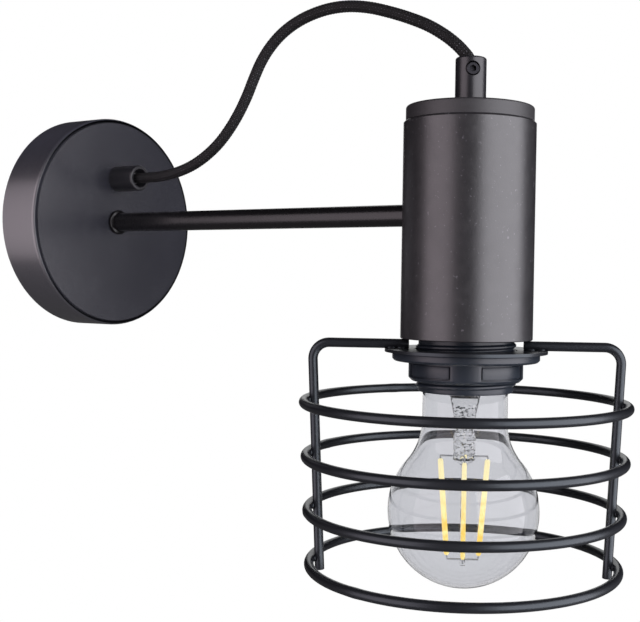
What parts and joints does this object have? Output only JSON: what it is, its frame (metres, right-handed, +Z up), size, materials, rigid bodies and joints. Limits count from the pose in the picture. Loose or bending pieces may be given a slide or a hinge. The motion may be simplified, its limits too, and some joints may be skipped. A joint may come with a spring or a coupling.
{
  "type": "cage wall light",
  "caption": "Wall light with a round canopy, a straight arm, a tubular lamp housing, a wire ring cage round a clear filament bulb and a textile cord looped over the arm.",
  "frame": {"origin": "on the wall plane, at the middle between the bracket's two wall slots, level with the arm", "axes": "+Z up; the wall's face is the plane y = 0 and the lamp stands out along -Y; +X is to the right of someone who faces the wall"},
  "size_m": [0.1306, 0.2823, 0.2375],
  "materials": {
    "canopy_coat": "satin graphite powder coat",
    "lamp_coat": "satin graphite powder coat",
    "arm_coat": "smooth black powder coat",
    "cage_coat": "satin black powder coat",
    "grip_plastic": "satin moulded black",
    "black_steel": "blackened steel",
    "cord_braid": "black braided textile sleeve",
    "holder_plastic": "satin moulded bluish black",
    "insert_white": "white steatite",
    "zinc_steel": "zinc-plated steel",
    "brass": "plain brass",
    "copper_spring": "spring bronze",
    "block_plastic": "natural polyamide",
    "core_brown": "brown insulation",
    "core_blue": "blue insulation",
    "core_earth": "green and yellow insulation",
    "bulb_glass": "clear smooth glass",
    "stem_glass": "clear pressed glass",
    "bulb_metal": "nickel-plated screw cap",
    "cap_glass": "black glass insulator",
    "solder": "dull solder",
    "filament": "amber phosphor on a light strip"
  },
  "bodies": {
    "lamp": {"wall_bracket": "zinc_steel", "canopy": "canopy_coat", "terminal_block": "block_plastic", "terminal_tubes": "brass", "terminal_screws": "zinc_steel", "block_screw": "zinc_steel", "earth_screw": "brass", "core_live": "core_brown", "core_neutral": "core_blue", "earth_lead": "core_earth", "canopy_grip": "grip_plastic", "canopy_grip_nipple": "zinc_steel", "canopy_grip_nut": "zinc_steel", "arm_tube": "arm_coat", "arm_collar": "arm_coat", "arm_stud_wall": "zinc_steel", "arm_nut_wall": "zinc_steel", "arm_washer_wall": "zinc_steel", "arm_stud_lamp": "zinc_steel", "arm_nut_lamp": "zinc_steel", "arm_washer_lamp": "zinc_steel", "housing": "lamp_coat", "housing_cap": "lamp_coat", "holder_rod": "zinc_steel", "rod_nuts": "zinc_steel", "top_grip": "grip_plastic", "cord": "cord_braid", "cord_in_canopy": "cord_braid", "cord_in_housing": "cord_braid", "holder_dome": "holder_plastic", "holder_insert": "insert_white", "holder_contact": "copper_spring", "holder_shell": "brass", "holder_skirt": "holder_plastic"},
    "rim_screw_top": {"rim_screw_top": "black_steel"},
    "rim_screw_bottom": {"rim_screw_bottom": "black_steel"},
    "top_grip_screw": {"top_grip_screw": "black_steel"},
    "canopy_grip_screw": {"canopy_grip_screw": "black_steel"},
    "cage": {"cage_plate": "cage_coat", "cage_upright_front": "cage_coat", "cage_upright_back": "cage_coat", "cage_ring_1": "cage_coat", "cage_ring_2": "cage_coat", "cage_ring_3": "cage_coat", "cage_ring_4": "cage_coat"},
    "shade_ring": {"shade_ring": "holder_plastic"},
    "bulb_tip": {"bulb_contact": "solder"},
    "bulb": {"bulb_insulator": "cap_glass", "bulb_cap": "bulb_metal", "bulb_glass": "bulb_glass", "bulb_stem": "stem_glass", "bulb_filaments": "filament", "bulb_leads": "zinc_steel"}
  },
  "joints": [
    {"name": "bulb_travel", "type": "slide", "parent": "lamp", "child": "bulb_tip", "axis": [0, 0, -1], "range_m": [0, 0.0236]},
    {"name": "bulb_turn", "type": "hinge", "parent": "bulb_tip", "child": "bulb", "pos_m": [0, -0.217, 0], "axis": [0, 0, -1], "range_deg": [0, 2350]},
    {"name": "cage_drop", "type": "slide", "parent": "lamp", "child": "cage", "axis": [0, 0, -1], "range_m": [0, 0.015]},
    {"name": "shade_ring_turn", "type": "hinge", "parent": "cage", "child": "shade_ring", "pos_m": [0, -0.217, 0], "axis": [0, 0, -1], "range_deg": [0, 2170]},
    {"name": "rim_screw_top_out", "type": "slide", "parent": "lamp", "child": "rim_screw_top", "axis": [0, 0, 1], "range_m": [0, 0.006]},
    {"name": "rim_screw_bottom_out", "type": "slide", "parent": "lamp", "child": "rim_screw_bottom", "axis": [0, 0, -1], "range_m": [0, 0.006]},
    {"name": "top_grip_screw_out", "type": "slide", "parent": "lamp", "child": "top_grip_screw", "axis": [-0.7986, -0.6018, 0], "range_m": [0, 0.002]},
    {"name": "canopy_grip_screw_out", "type": "slide", "parent": "lamp", "child": "canopy_grip_screw", "axis": [1, 0, 0], "range_m": [0, 0.002]}
  ],
  "couplings": [
    {"joint": "bulb_turn", "follows": "bulb_travel", "rad_per_m": 1731.4},
    {"joint": "shade_ring_turn", "follows": "cage_drop", "rad_per_m": 2513.3}
  ]
}
